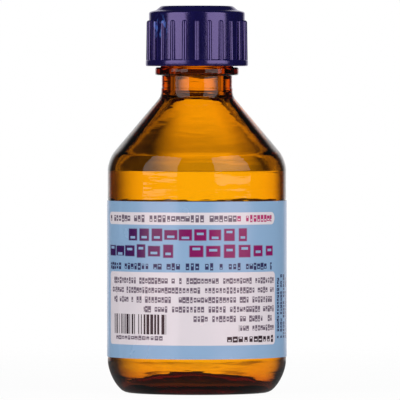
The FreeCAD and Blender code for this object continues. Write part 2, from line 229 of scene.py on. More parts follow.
class LabelSettings(PropertyGroup):
    """The printed paper label"""

    paper: length("Paper", "Thickness of the paper", 0.1)
    glue: length("Glue", "Adhesive in the lap", 0.03)
    lap: angle("Lap", "Width of the lap", 18)
    step: angle("Step", "Width of the step at the lap", 1.5)
    seam: angle("Seam", "Free edge of the lap, from +X", 194)
    rows: count("Rows", "Rows of faces up the paper", 12)
    lap_steps: count("Lap Steps", "Faces along the lap", 10)
    round_steps: count("Round Steps", "Faces along the rest of the paper", 200)
    ground: colour("Ground", "Printed ground colour", 148, 184, 220)
    panel: colour("Panel", "Unprinted paper", 239, 230, 237)
    ink: colour("Ink", "Small print", 112, 100, 116)
    heading_left: colour("Heading Left", "Heading at its left end", 50, 14, 84)
    heading_right: colour("Heading Right", "Heading from its middle on", 138, 10, 94)
    accent: colour("Accent", "Marks in the top bar", 188, 58, 116)
    bold: colour("Bold Ink", "Stripes and bold row", 46, 36, 46)
    dark: colour("Dark Ink", "Side print and the row under the headings", 44, 50, 92)


class StageSettings(PropertyGroup):
    """Camera, softboxes, backlit card and floor"""

    distance: length("Distance", "Camera to the bottle's axis", 1500)
    height: length("Camera Height", "Camera above the floor", 64.0)
    aim_height: length("Aim Height", "Height that the camera aims at", 40.94)
    aim_side: length("Aim Side", "Aim to the right of the axis", 0.66)
    view_width: length("View Width", "Width of the picture at the axis", 85.2)
    box_distance: length("Softbox Distance", "Softbox to the axis", 550)
    box_width: length("Softbox Width", "Width of a softbox", 500)
    box_height: length("Softbox Height", "Height of a softbox", 660)
    box_foot: length("Softbox Foot", "Lower edge of a softbox above the floor", 42)
    left_angle: angle("Left Softbox", "Left softbox, away from the camera", 49.5)
    right_angle: angle("Right Softbox", "Right softbox, away from the camera", 47.5)
    box_radiance: number("Softbox Radiance", "Brightness of a mirrored softbox", 1.3)
    fill_radiance: number("Fill Radiance", "Further light that shows in no mirror", 2.1)
    card_distance: length("Card Distance", "Backlit card behind the axis", 45)
    card_size: length("Card Size", "Side of the backlit card", 100)
    card_middle: length("Card Middle", "Middle of the card above the floor", 40)
    card_core: length("Card Core", "Half the card's fully bright width", 5)
    card_width: length("Card Width", "Half the card's width where it has faded", 19)
    card_neck: length("Card Neck", "Half the faded width behind the neck", 31)
    card_lean: length("Card Lean", "Bright middle, left of the axis low down and right above", 3)
    card_top: length("Card Top", "Upper edge of the card's bright part", 67.2)
    card_light: number("Card Light", "Brightness of the card", 1.5)
    floor_radius: length("Floor Radius", "Radius of the pale floor", 300)
    floor: colour("Floor", "Colour of the floor", 240, 240, 240)


# Meshes


def only(*pieces):
    """Select these objects and nothing else, and make the first one active."""
    bpy.ops.object.select_all(action="DESELECT")
    for piece in reversed(pieces):
        piece.select_set(True)
        bpy.context.view_layer.objects.active = piece


def modify(piece, kind, **settings):
    """Add a modifier to the active piece, set it and apply it."""
    bpy.ops.object.modifier_add(type=kind)
    made = piece.modifiers[-1]
    for name, value in settings.items():
        setattr(made, name, value)
    bpy.ops.object.modifier_apply(modifier=made.name)


def edit_vertices():
    """Enter edit mode with vertices to select."""
    bpy.ops.object.mode_set(mode="EDIT")
    bpy.ops.mesh.select_mode(type="VERT")


def select_mesh():
    """Select the whole mesh that is being edited."""
    bpy.ops.mesh.select_all(action="SELECT")


def start_mesh(name, spot):
    """Add a plane, merge it to one vertex at spot and leave that selected in edit mode."""
    only()
    bpy.ops.mesh.primitive_plane_add(size=MM, location=(0, 0, 0))
    piece = bpy.context.object
    piece.name = name
    piece.data.name = name
    edit_vertices()
    select_mesh()
    bpy.ops.mesh.merge(type="CENTER")
    select_mesh()
    bpy.ops.transform.translate(value=spot)
    return piece


def pick(piece, wanted):
    """Select the vertices that the test wants, and nothing else."""
    bpy.ops.mesh.select_all(action="DESELECT")
    mesh = bmesh.from_edit_mesh(piece.data)
    for vertex in mesh.verts:
        vertex.select = wanted(vertex)
    mesh.select_flush_mode()
    bmesh.update_edit_mesh(piece.data)


def draw_section(name, corners, segments=10):
    """Extrude a vertex through (radius, height, rounding) corners, then bevel them round."""
    spots = [Vector((radius, 0, height)) for radius, height, _ in corners]
    piece = start_mesh(name, spots[0])
    for before, after in zip(spots, spots[1:]):
        bpy.ops.mesh.extrude_region_move(TRANSFORM_OT_translate={"value": after - before})
    for i in range(1, len(corners) - 1):
        rounding = corners[i][2]
        if not rounding:
            continue
        here = spots[i]
        half = (spots[i - 1] - here).angle(spots[i + 1] - here) / 2
        pick(piece, lambda vertex: (vertex.co - here).length < NEAR)
        bpy.ops.mesh.bevel(
            offset=rounding / math.tan(half),
            offset_type="OFFSET",
            segments=segments,
            affect="VERTICES",
            profile=0.5,
        )
    return piece


def close_mesh():
    """Merge doubles, turn the faces outwards and leave edit mode."""
    select_mesh()
    bpy.ops.mesh.remove_doubles(threshold=NEAR)
    bpy.ops.mesh.normals_make_consistent(inside=False)
    bpy.ops.object.mode_set(mode="OBJECT")


def smooth(piece, degrees=32):
    """Shade smooth, with sharp edges past the angle and normals that keep long faces flat."""
    only(piece)
    bpy.ops.object.shade_smooth_by_angle(angle=math.radians(degrees))
    modify(piece, "WEIGHTED_NORMAL", keep_sharp=True)


def lathe(name, corners, steps, segments=10):
    """Spin a section about the upright axis."""
    piece = draw_section(name, corners, segments)
    select_mesh()
    bpy.ops.mesh.spin(steps=steps, angle=FULL_TURN, center=(0, 0, 0), axis=(0, 0, 1))
    close_mesh()
    return piece


def dome_points(radius, low, high, steps=10):
    """Points of a shallow round dome, from its rim to its middle."""
    rise = high - low
    curve = (radius**2 + rise**2) / (2 * rise)
    middle = high - curve
    rim = math.asin(radius / curve)
    turns = [rim * (1 - i / steps) for i in range(steps + 1)]
    return [(curve * math.sin(turn), middle + curve * math.cos(turn), 0) for turn in turns]


def wind_thread(name, root, crest, foot, top, start):
    """Sweep a thread's section up a screw, with ends that run out into the wall."""
    steps_per_turn = 64
    fade = 0.14
    corners = [
        (root, start - foot / 2, 0),
        (crest, start - top / 2, 0),
        (crest, start + top / 2, 0),
        (root, start + foot / 2, 0),
    ]
    piece = draw_section(name, corners)
    select_mesh()
    bpy.ops.mesh.edge_face_add()
    bpy.ops.object.mode_set(mode="OBJECT")
    steps = round(steps_per_turn * THREAD_TURNS)
    rise = THREAD_PITCH * THREAD_TURNS
    sweep = FULL_TURN * THREAD_TURNS
    modify(piece, "SCREW", angle=sweep, screw_offset=rise, steps=steps, render_steps=steps)
    rings = len(piece.data.vertices) // len(corners)
    for i, vertex in enumerate(piece.data.vertices):
        along = THREAD_TURNS * (i // len(corners)) / (rings - 1)
        share = min(1, min(along, THREAD_TURNS - along) / fade)
        flat = Vector((vertex.co.x, vertex.co.y, 0))
        wanted = root + (flat.length - root) * share
        vertex.co += flat.normalized() * (wanted - flat.length)
    edit_vertices()
    select_mesh()
    bpy.ops.mesh.fill_holes(sides=len(corners))
    close_mesh()
    return piece


def unite(piece, *others):
    """Fuse other meshes into a piece and remove them."""
    only(piece)
    for other in others:
        modify(piece, "BOOLEAN", operation="UNION", solver="EXACT", object=other)
        bpy.data.objects.remove(other)


def dress(piece, material, body, node):
    """Give a finished piece its material and its body, and hide the node that it stands for."""
    piece.data.materials.clear()
    piece.data.materials.append(material)
    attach(piece, body)
    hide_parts(node)


# Shader nodes


class Wiring:
    """Short calls that add nodes to a tree and join them."""

    def __init__(self, tree):
        self.tree = tree

    def feed(self, socket, value):
        if isinstance(value, bpy.types.NodeSocket):
            self.tree.links.new(value, socket)
        else:
            socket.default_value = value

    def settle(self, node, inputs):
        for key, value in inputs.items():
            self.feed(node.inputs[key], value)

    def node(self, kind, inputs=None, **settings):
        made = self.tree.nodes.new(kind)
        for name, value in settings.items():
            setattr(made, name, value)
        self.settle(made, inputs or {})
        return made

    def math(self, operation, *values):
        return self.node("ShaderNodeMath", dict(enumerate(values)), operation=operation).outputs[0]

    def product(self, first, *others):
        for other in others:
            first = self.math("MULTIPLY", first, other)
        return first

    def gap(self, value, middle):
        return self.math("ABSOLUTE", self.math("SUBTRACT", value, middle))

    def ramp(self, value, low, high, to_low=0.0, to_high=1.0):
        inputs = dict(enumerate((value, low, high, to_low, to_high)))
        return self.node("ShaderNodeMapRange", inputs, interpolation_type="SMOOTHSTEP").outputs[0]

    def between(self, share, low, high):
        return self.ramp(share, 0.0, 1.0, low, high)

    def below(self, value, limit):
        return self.ramp(self.math("SUBTRACT", value, limit), -SOFT_EDGE, SOFT_EDGE, 1.0, 0.0)

    def blend(self, share, first, second):
        return self.node("ShaderNodeMix", {0: share, 6: first, 7: second}, data_type="RGBA").outputs[2]

    def noise(self, place, size, detail):
        inputs = {"Vector": place, "Scale": 1 / size, "Detail": detail}
        return self.node("ShaderNodeTexNoise", inputs).outputs[0]

    def stretch(self, place, factors):
        made = self.node("ShaderNodeVectorMath", {0: place, 1: factors}, operation="MULTIPLY")
        return made.outputs["Vector"]

    def distance(self, place, spot):
        made = self.node("ShaderNodeVectorMath", {0: place, 1: spot}, operation="DISTANCE")
        return made.outputs["Value"]

    def split(self, place):
        return self.node("ShaderNodeSeparateXYZ", {"Vector": place}).outputs

    def chance(self, seed):
        made = self.node("ShaderNodeTexWhiteNoise", {"W": seed}, noise_dimensions="1D")
        return made.outputs["Value"]

    def group(self, tree, inputs):
        return self.node("ShaderNodeGroup", inputs, node_tree=tree).outputs

    def light(self, strength):
        made = self.node("ShaderNodeEmission", {"Color": WHITE, "Strength": strength})
        return made.outputs["Emission"]

    def mix(self, share, first, second):
        return self.node("ShaderNodeMixShader", {0: share, 1: first, 2: second}).outputs["Shader"]


def opaque(rgb, share=1.0):
    """A colour socket's value, lighter or darker by a share."""
    return (*[min(1.0, value * share) for value in rgb], 1.0)


def new_group(name, inputs, outputs):
    """A shader group, its wiring and its named sockets. A name with a star is a vector."""
    tree = bpy.data.node_groups.get(name)
    if tree:
        return tree, None, None, None
    tree = bpy.data.node_groups.new(name, "ShaderNodeTree")
    for labels, way in ((inputs, "INPUT"), (outputs, "OUTPUT")):
        for label in labels:
            kind = "NodeSocketVector" if label.endswith("*") else "NodeSocketFloat"
            tree.interface.new_socket(label.rstrip("*"), in_out=way, socket_type=kind)
    wires = Wiring(tree)
    arrive = tree.nodes.new("NodeGroupInput").outputs
    leave = tree.nodes.new("NodeGroupOutput").inputs
    return tree, wires, arrive, leave


def handling_group():
    """Faint smudges and fine specks that a handled surface shows."""
    tree, wires, arrive, leave = new_group("Handling", ["Place*"], ["Smudge", "Speck"])
    if wires:
        broad = wires.noise(arrive["Place"], size=9 * MM, detail=4.0)
        wires.feed(leave["Smudge"], wires.ramp(broad, 0.45, 0.75))
        fine = wires.noise(arrive["Place"], size=0.35 * MM, detail=2.0)
        wires.feed(leave["Speck"], wires.ramp(fine, 0.35, 0.7))
    return tree


def unrolled_group():
    """Arc length and height, in millimetres, of a place on the wrapped label."""
    tree, wires, arrive, leave = new_group("Unrolled", ["Place*", "Radius", "Bottom"], ["U", "V"])
    if wires:
        split = wires.split(arrive["Place"])
        turn = wires.math("ARCTAN2", split["X"], wires.math("MULTIPLY", split["Y"], -1.0))
        wires.feed(leave["U"], wires.math("MULTIPLY", turn, arrive["Radius"]))
        above = wires.math("SUBTRACT", split["Z"], arrive["Bottom"])
        wires.feed(leave["V"], wires.math("DIVIDE", above, MM))
    return tree


# Sockets of the groups that print on the label.
PATCH_SIDES = ("Left", "Right", "Low", "High", "Corner")
STRIPE_SIDES = ("Left", "Right", "Low", "High", "Pitch")
ROW_LAYOUT = ("Left", "Right", "Top", "Rows", "Spacing", "Height", "Pitch", "Gaps", "Indent")
# A printed block's half height and half width, as shares of its row and its cell, and its bare slit.
BLOCK_HEIGHT = (0.36, 0.5)
BLOCK_WIDTH = (0.32, 0.47)
SLIT_REACH = 0.22
SLIT_HALF = 0.09
SLIT_SHARE = 0.55
STRIPE_GAPS = 0.46
# Rows that start at the left before the indent, and how far the draws of lines and of rows lie apart.
FULL_ROWS = 3
LINE_STEP = 61.0
SEED_STEP = 37.0


def patch_group():
    """Mask of a rounded rectangle on the unrolled label."""
    tree, wires, arrive, leave = new_group("Patch", ["U", "V", *PATCH_SIDES], ["Mask"])
    if wires:

        def reach(value, first, last):
            middle = wires.math("MULTIPLY", wires.math("ADD", first, last), 0.5)
            half = wires.math("MULTIPLY", wires.math("SUBTRACT", last, first), 0.5)
            inner = wires.math("SUBTRACT", half, arrive["Corner"])
            return wires.math("SUBTRACT", wires.gap(value, middle), inner)

        across = reach(arrive["U"], arrive["Left"], arrive["Right"])
        up = reach(arrive["V"], arrive["Low"], arrive["High"])
        outer = [wires.math("POWER", wires.math("MAXIMUM", v, 0.0), 2.0) for v in (across, up)]
        outside = wires.math("SQRT", wires.math("ADD", *outer))
        inside = wires.math("MINIMUM", wires.math("MAXIMUM", across, up), 0.0)
        away = wires.math("ADD", outside, inside)
        wires.feed(leave["Mask"], wires.below(away, arrive["Corner"]))
    return tree


def print_group():
    """Mask of rows of plain blocks that stand for lines of print, with gaps between words."""
    tree, wires, arrive, leave = new_group("Print Rows", ["U", "V", "Seed", *ROW_LAYOUT], ["Mask"])
    if wires:
        under_top = wires.math("SUBTRACT", arrive["Top"], arrive["V"])
        down = wires.math("DIVIDE", under_top, arrive["Spacing"])
        last = wires.math("SUBTRACT", arrive["Rows"], 1.0)
        line = wires.math("MINIMUM", wires.math("MAXIMUM", wires.math("ROUND", down), 0.0), last)
        below = wires.math("MULTIPLY", wires.math("SUBTRACT", line, down), arrive["Spacing"])
        rise = wires.math("DIVIDE", below, arrive["Height"])
        past_left = wires.math("SUBTRACT", arrive["U"], arrive["Left"])
        along = wires.math("DIVIDE", past_left, arrive["Pitch"])
        cell = wires.math("FLOOR", along)
        off_middle = wires.gap(wires.math("FRACT", along), 0.5)
        seed = wires.math("ADD", wires.math("MULTIPLY", line, LINE_STEP), arrive["Seed"])

        def draw(shift):
            return wires.chance(wires.math("ADD", wires.math("ADD", cell, seed), shift))

        tall = wires.between(draw(0.31), *BLOCK_HEIGHT)
        half = wires.between(draw(0.17), *BLOCK_WIDTH)
        slit_middle = wires.between(draw(0.53), -SLIT_REACH, SLIT_REACH)
        slit = wires.math("LESS_THAN", wires.gap(rise, slit_middle), SLIT_HALF)
        narrow = wires.math("LESS_THAN", off_middle, wires.math("MULTIPLY", half, SLIT_SHARE))
        short = wires.math("MAXIMUM", wires.math("SUBTRACT", line, FULL_ROWS - 1), 0.0)
        start = wires.math("MULTIPLY_ADD", short, arrive["Indent"], arrive["Left"])
        mask = wires.product(
            wires.below(wires.math("ABSOLUTE", rise), tall),
            wires.below(off_middle, half),
            wires.math("SUBTRACT", 1.0, wires.math("MULTIPLY", slit, narrow)),
            wires.math("GREATER_THAN", draw(0.71), arrive["Gaps"]),
            wires.math("GREATER_THAN", arrive["U"], start),
            wires.math("LESS_THAN", arrive["U"], arrive["Right"]),
        )
        wires.feed(leave["Mask"], mask)
    return tree


def stripes_group():
    """Mask of upright stripes of mixed widths."""
    tree, wires, arrive, leave = new_group("Stripes", ["U", "V", *STRIPE_SIDES], ["Mask"])
    if wires:
        cell = wires.math("FLOOR", wires.math("DIVIDE", arrive["U"], arrive["Pitch"]))
        mask = wires.product(
            wires.math("GREATER_THAN", wires.chance(cell), STRIPE_GAPS),
            wires.math("GREATER_THAN", arrive["U"], arrive["Left"]),
            wires.math("GREATER_THAN", arrive["V"], arrive["Low"]),
            wires.math("LESS_THAN", arrive["U"], arrive["Right"]),
            wires.math("LESS_THAN", arrive["V"], arrive["High"]),
        )
        wires.feed(leave["Mask"], mask)
    return tree


def new_material(name):
    """A material with its wiring, its Principled shader and the Object place."""
    material = bpy.data.materials.new(name)
    material.use_nodes = True
    wires = Wiring(material.node_tree)
    shader = material.node_tree.nodes["Principled BSDF"]
    return material, wires, shader, wires.node("ShaderNodeTexCoord").outputs["Object"]


def bump(wires, shader, height, depth):
    """Feed a height to the shader's normal."""
    made = wires.node("ShaderNodeBump", {"Strength": 1.0, "Distance": depth, "Height": height})
    wires.feed(shader.inputs["Normal"], made.outputs["Normal"])


def surface_end(material):
    """The sockets of a material's output."""
    return material.node_tree.nodes["Material Output"].inputs


def amber_glass(settings):
    """Clear glass whose body absorbs blue and some green, with a faint swell, streaks and smudges."""
    material, wires, shader, place = new_material("Amber Glass")
    wires.settle(shader, {"Base Color": WHITE, "Transmission Weight": 1.0, "IOR": 1.52})
    handling = wires.group(handling_group(), {"Place": place})
    rough = wires.between(handling["Smudge"], 0.0, 0.035)
    wires.feed(shader.inputs["Roughness"], rough)
    swell = wires.noise(wires.stretch(place, (0.5, 0.5, 1.6)), size=7 * MM, detail=2.0)
    streaks = wires.noise(wires.stretch(place, (0.12, 0.12, 1.0)), size=1.1 * MM, detail=2.0)
    bump(wires, shader, wires.math("MULTIPLY_ADD", streaks, 0.2, swell), depth=0.12 * MM)
    inputs = {"Color": opaque(settings.tint), "Density": settings.depth}
    absorb = wires.node("ShaderNodeVolumeAbsorption", inputs)
    wires.feed(surface_end(material)["Volume"], absorb.outputs["Volume"])
    return material


def clear_liquid(settings):
    """Water-clear liquid."""
    material, wires, shader, place = new_material("Clear Solution")
    clear = {"Base Color": opaque(settings.tint), "Transmission Weight": 1.0, "IOR": 1.333}
    wires.settle(shader, {"Roughness": 0.0, **clear})
    bump(wires, shader, wires.noise(place, size=12 * MM, detail=1.0), depth=0.02 * MM)
    return material


def cap_plastic(settings):
    """Dark glossy moulded plastic with smudges, fine specks and one scuffed spot."""
    material, wires, shader, place = new_material("Cap Plastic")
    handling = wires.group(handling_group(), {"Place": place})
    tone = wires.blend(handling["Smudge"], opaque(settings.tint), opaque(settings.tint, 1.3))
    away = wires.distance(place, settings.scuff_place)
    near = wires.ramp(away, settings.scuff_core, settings.scuff_reach, 1.0, 0.0)
    scratches = wires.noise(wires.stretch(place, (1.0, 1.0, 0.6)), size=1.1 * MM, detail=4.0)
    scuff = wires.math("MULTIPLY", near, wires.ramp(scratches, 0.47, 0.6))
    tone = wires.blend(scuff, tone, opaque(settings.scuff_tint))
    rough = wires.between(handling["Smudge"], 0.16, 0.26)
    gloss = {"IOR": 2.0, "Specular IOR Level": 0.95, "Specular Tint": (0.62, 0.47, 1.0, 1.0)}
    wires.settle(shader, {"Base Color": tone, "Roughness": rough, **gloss})
    bump(wires, shader, handling["Speck"], depth=0.003 * MM)
    return material


def soft_plastic(name, tint, grain, depth, roughness):
    """Pale soft plastic with a fine grain."""
    material, wires, shader, place = new_material(name)
    handling = wires.group(handling_group(), {"Place": place})
    tone = wires.blend(handling["Smudge"], opaque(tint), opaque(tint, 0.9))
    rough = wires.between(handling["Speck"], roughness, roughness + 0.12)
    soft = {"Subsurface Weight": 0.15, "Subsurface Scale": 0.4 * MM}
    wires.settle(shader, {"Base Color": tone, "Roughness": rough, **soft})
    bump(wires, shader, wires.noise(place, grain, detail=2.0), depth)
    return material


# Print on the unrolled label, in millimetres from the middle of its front and from its lower edge.
# Pale panels: left, right, low, high, corner.
TOP_BAR = (-24.6, 19.7, 28.3, 30.9, 1.25)
FRONT_PANEL = (-23.9, 19.9, 2.9, 18.3, 0.9)
BACK_PANEL = (31.5, 57.0, 3.0, 29.5, 0.9)
# Rows of print: left, right, middle of the top row, rows, spacing, height, pitch, share of gaps and
# the indent of each row after the third.
BAR_ROWS = (-23.9, 18.6, 29.6, 2, 10.1, 1.55, 1.02, 0.15, 0.0)
FRONT_ROWS = (-22.6, 19.4, 16.5, 6, 2.0, 1.35, 0.78, 0.15, 10.6)
CODE_ROW = (-20.9, -7.4, 4.4, 1, 9.0, 0.95, 1.05, 0.0, 0.0)
BACK_ROWS = (32.6, 55.8, 28.0, 12, 1.9, 1.2, 0.78, 0.15, 0.0)
HEADINGS = [
    (-16.6, 11.7, 26.2, 1, 9.0, 2.75, 3.15, 0.0, 0.0),
    (-24.2, -4.5, 22.75, 1, 9.0, 2.9, 3.28, 0.0, 0.0),
    (-1.9, 19.6, 22.75, 1, 9.0, 2.9, 3.58, 0.0, 0.0),
]
BOLD_ROW = (6.4, 19.5, 4.15, 1, 9.0, 1.5, 1.3, 0.1, 0.0)
# Side rows run upwards, so their left and right are heights.
SIDE_ROWS = (4.0, 17.6, 26.6, 4, 1.75, 1.15, 0.72, 0.15, 0.0)
# Stripes: left, right, low, high, pitch.
STRIPES = (-21.8, -6.6, 5.2, 9.4, 0.24)
HEADING_FADE = (-20.0, 4.0)
ACCENT_START = 8.6


def printed_paper(settings):
    """Coated paper: blue ground, pale panels and plain blocks in place of words."""
    material, wires, shader, place = new_material("Printed Paper")
    radius = LABEL_HIGH.x / MM
    spot = wires.group(unrolled_group(), {"Place": place, "Radius": radius, "Bottom": LABEL_LOW.z})
    u, v = spot["U"], spot["V"]
    handling = wires.group(handling_group(), {"Place": place})
    paint = wires.blend(handling["Smudge"], opaque(settings.ground), opaque(settings.ground, 1.03))
    either_side = wires.math("ABSOLUTE", u)

    def mask(group, across, up, names, sizes, **more):
        layout = dict(zip(names, sizes))
        return wires.group(group, {"U": across, "V": up, **layout, **more})["Mask"]

    for across, sides in ((u, TOP_BAR), (u, FRONT_PANEL), (either_side, BACK_PANEL)):
        patch = mask(patch_group(), across, v, PATCH_SIDES, sides)
        paint = wires.blend(patch, paint, opaque(settings.panel))
    bars = mask(stripes_group(), u, v, STRIPE_SIDES, STRIPES)
    paint = wires.blend(bars, paint, opaque(settings.bold))
    ink = opaque(settings.ink)
    dark = opaque(settings.dark)
    fade = wires.ramp(u, *HEADING_FADE)
    heading = wires.blend(fade, opaque(settings.heading_left), opaque(settings.heading_right))
    right_end = wires.math("GREATER_THAN", u, ACCENT_START)
    high_row = wires.math("GREATER_THAN", v, TOP_BAR[2])
    bar_ink = wires.blend(high_row, dark, wires.blend(right_end, ink, opaque(settings.accent)))
    jobs = [
        (BAR_ROWS, u, v, bar_ink),
        *[(rows, u, v, heading) for rows in HEADINGS],
        (FRONT_ROWS, u, v, ink),
        (CODE_ROW, u, v, ink),
        (BACK_ROWS, either_side, v, ink),
        (BOLD_ROW, u, v, opaque(settings.bold)),
        (SIDE_ROWS, v, u, dark),
    ]
    for i, (rows, across, up, tone) in enumerate(jobs):
        blocks = mask(print_group(), across, up, ROW_LAYOUT, rows, Seed=SEED_STEP * i)
        paint = wires.blend(blocks, paint, tone)
    reach = wires.distance(wires.stretch(place, (1.0, 1.0, 0.0)), (0.0, 0.0, 0.0))
    outside = wires.math("GREATER_THAN", reach, LABEL_HIGH.x - settings.paper / 2)
    paint = wires.blend(outside, opaque(settings.panel), paint)
    rough = wires.between(handling["Smudge"], 0.24, 0.28)
    gloss = {"IOR": 1.8, "Specular IOR Level": 1.0, "Specular Tint": (1.0, 0.62, 0.62, 1.0)}
    wires.settle(shader, {"Base Color": paint, "Roughness": rough, **gloss})
    bump(wires, shader, handling["Speck"], depth=0.0006 * MM)
    return material


# Operators


class BOTTLE_OT_blow_glass(Operator):
    """Turn the glass section, wind its thread and make the inside wall uneven"""

    bl_idname = "bottle.blow_glass"
    bl_label = "Blow Glass"

    def section(self, g):
        """Corners from the middle of the base, up the outside and down the inside to the floor."""
        radius = GLASS_HIGH.x
        rim = GLASS_HIGH.z
        foot = radius - g.heel_inset
        inside = radius - g.wall
        bead_top = g.bead + g.bead_height
        step = g.neck_radius + g.seam_step
        punt = dome_points(foot - g.foot_ring, 0, g.punt)
        floor = dome_points(g.dome_radius, g.floor, g.floor + g.dome)
        return [
            *reversed(punt),
            (foot, 0, g.foot_rounding),
            (radius, g.heel_rise, g.heel_rounding),
            (radius, g.shoulder, g.shoulder_rounding),
            (step, g.neck, g.neck_rounding),
            (step, g.seam_height, g.seam_step),
            (g.neck_radius, g.seam_height + g.seam_step, 0),
            (g.neck_radius, g.bead, g.edge / 2),
            (g.bead_radius, g.bead, g.edge),
            (g.bead_radius, bead_top, g.edge),
            (g.finish_radius, bead_top, g.edge / 2),
            (g.finish_radius, rim, g.edge),
            (g.bore, rim, g.edge),
            (g.bore, g.neck + g.inner_rise, g.inner_neck),
            (inside, g.shoulder - g.inner_drop, g.inner_shoulder),
            (inside, g.floor, g.inner_heel),
            *floor,
        ]

    def swell_inside(self, piece, g):
        """Displace the inside wall by a soft noise, as blown glass is uneven there."""
        edit_vertices()

        def faces_hollow(vertex):
            out = Vector((vertex.co.x, vertex.co.y, 0))
            return vertex.normal.dot(out) < 0 and g.floor < vertex.co.z < g.neck

        pick(piece, faces_hollow)
        bpy.ops.object.vertex_group_add()
        bpy.ops.object.vertex_group_assign()
        bpy.ops.object.mode_set(mode="OBJECT")
        cloud = bpy.data.textures.new("Wall Swell", "CLOUDS")
        cloud.noise_scale = g.swell
        cloud.noise_depth = 1
        inside = piece.vertex_groups[-1].name
        settings = {"texture": cloud, "texture_coords": "LOCAL", "strength": g.unevenness}
        modify(piece, "DISPLACE", vertex_group=inside, **settings)

    def execute(self, context):
        g = context.scene.bottle_glass
        glass = lathe("blown_glass", self.section(g), g.steps, segments=14)
        self.swell_inside(glass, g)
        root = g.finish_radius - THREAD_SINK
        crest = g.finish_radius + g.thread_height
        thread = wind_thread("glass_thread", root, crest, g.thread_foot, g.thread_crest, g.thread_start)
        unite(glass, thread)
        smooth(glass)
        dress(glass, amber_glass(g), "bottle", "glass_bottle")
        return {"FINISHED"}


class BOTTLE_OT_pour_fill(Operator):
    """Turn the liquid, its skin just inside the glass and its rim drawn up the wall"""

    bl_idname = "bottle.pour_fill"
    bl_label = "Pour Fill"

    def execute(self, context):
        g = context.scene.bottle_glass
        f = context.scene.bottle_fill
        wall = GLASS_HIGH.x - g.wall + f.overlap
        level = FILL_HIGH.z
        floor = g.floor - f.overlap
        corners = [
            *reversed(dome_points(g.dome_radius, floor, floor + g.dome)),
            (wall, floor, g.inner_heel),
            (wall, level + f.meniscus, 0),
            (wall - 2 * f.overlap, level + f.meniscus / 2, f.meniscus),
            (wall - 3 * f.meniscus, level, f.meniscus),
            (0, level, 0),
        ]
        fill = lathe("liquid_fill", corners, g.steps, segments=8)
        smooth(fill, degrees=60)
        dress(fill, clear_liquid(f), "bottle", "solution")
        return {"FINISHED"}


class BOTTLE_OT_press_insert(Operator):
    """Turn the pour insert: plug, flange, web and spout"""

    bl_idname = "bottle.press_insert"
    bl_label = "Press Insert"

    def execute(self, context):
        p = context.scene.bottle_insert
        rim = GLASS_HIGH.z
        top = INSERT_HIGH.z
        flange = INSERT_HIGH.x
        hollow = p.plug_radius - p.plug_wall
        spout = p.spout_bore + p.spout_wall
        web_top = rim - p.web_depth
        web_low = web_top - p.web
        corners = [
            (p.spout_bore, (top + web_low) / 2, 0),
            (p.spout_bore, web_low, p.edge),
            (hollow, web_low, p.edge),
            (hollow, INSERT_LOW.z, p.edge),
            (p.plug_radius, INSERT_LOW.z, p.edge),
            (p.plug_radius, rim, 0),
            (flange, rim, p.edge),
            (flange, top, p.edge),
            (hollow, top, p.edge),
            (hollow, web_top, p.edge),
            (spout, web_top, p.edge),
            (spout, top, p.edge),
            (p.spout_bore, top, p.edge),
            (p.spout_bore, (top + web_low) / 2, 0),
        ]
        insert = lathe("pour_plug", corners, p.steps, segments=4)
        smooth(insert)
        paint = soft_plastic("Insert Plastic", p.tint, grain=0.6 * MM, depth=0.01 * MM, roughness=0.34)
        dress(insert, paint, "bottle", "pour_insert")
        return {"FINISHED"}


class BOTTLE_OT_cut_liner(Operator):
    """Turn the foam liner, its face pressed in where it seals"""

    bl_idname = "bottle.cut_liner"
    bl_label = "Cut Liner"

    def execute(self, context):
        c = context.scene.bottle_cap
        radius = LINER_HIGH.x
        low = LINER_LOW.z
        high = LINER_HIGH.z
        soft = c.liner_press
        ring = INSERT_HIGH.x
        corners = [
            (0, low, 0),
            (ring, low, soft),
            (ring + soft, low - soft / 2, soft),
            (radius, low - soft / 2, soft),
            (radius, high, soft),
            (0, high, 0),
        ]
        liner = lathe("foam_liner", corners, c.liner_steps, segments=4)
        smooth(liner)
        paint = soft_plastic("Liner Foam", c.liner_tint, grain=0.25 * MM, depth=0.03 * MM, roughness=0.6)
        dress(liner, paint, "liner", "cap_liner")
        return {"FINISHED"}


